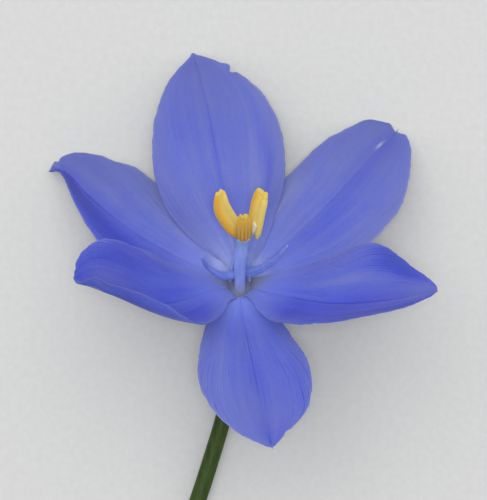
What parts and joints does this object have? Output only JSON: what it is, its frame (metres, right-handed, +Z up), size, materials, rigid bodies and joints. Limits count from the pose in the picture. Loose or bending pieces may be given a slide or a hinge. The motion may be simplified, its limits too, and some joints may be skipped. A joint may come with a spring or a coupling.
{
  "type": "morning iris flower",
  "caption": "Cut blue flower with spreading tepals, yellow anthers and a slender green stem, lying on a surface with its face up.",
  "frame": {"origin": "centre of the bounding box's bottom, on the surface that the flower lies on", "axes": "+Z up, away from the surface; +Y along the flower, from the stem's cut end to the top tepal; +X to the right as its face is seen from above"},
  "size_m": [0.0386, 0.0596, 0.0229],
  "materials": {
    "tepal": "soft petal tissue, violet blue with darker veins and paler margins",
    "filament": "translucent pale blue plant tissue",
    "anther": "powdery yellow pollen",
    "style": "satin pale blue plant tissue",
    "ovary": "satin green plant tissue",
    "stem": "satin dark green plant tissue"
  },
  "bodies": {
    "root": {"tepal_top": "tepal", "tepal_upper_right": "tepal", "tepal_upper_left": "tepal", "tepal_right": "tepal", "tepal_left": "tepal", "tepal_bottom": "tepal", "filament_front": "filament", "filament_right": "filament", "filament_left": "filament", "anther_front": "anther", "anther_right": "anther", "anther_left": "anther", "style": "style", "ovary": "ovary", "stem": "stem"}
  },
  "joints": []
}
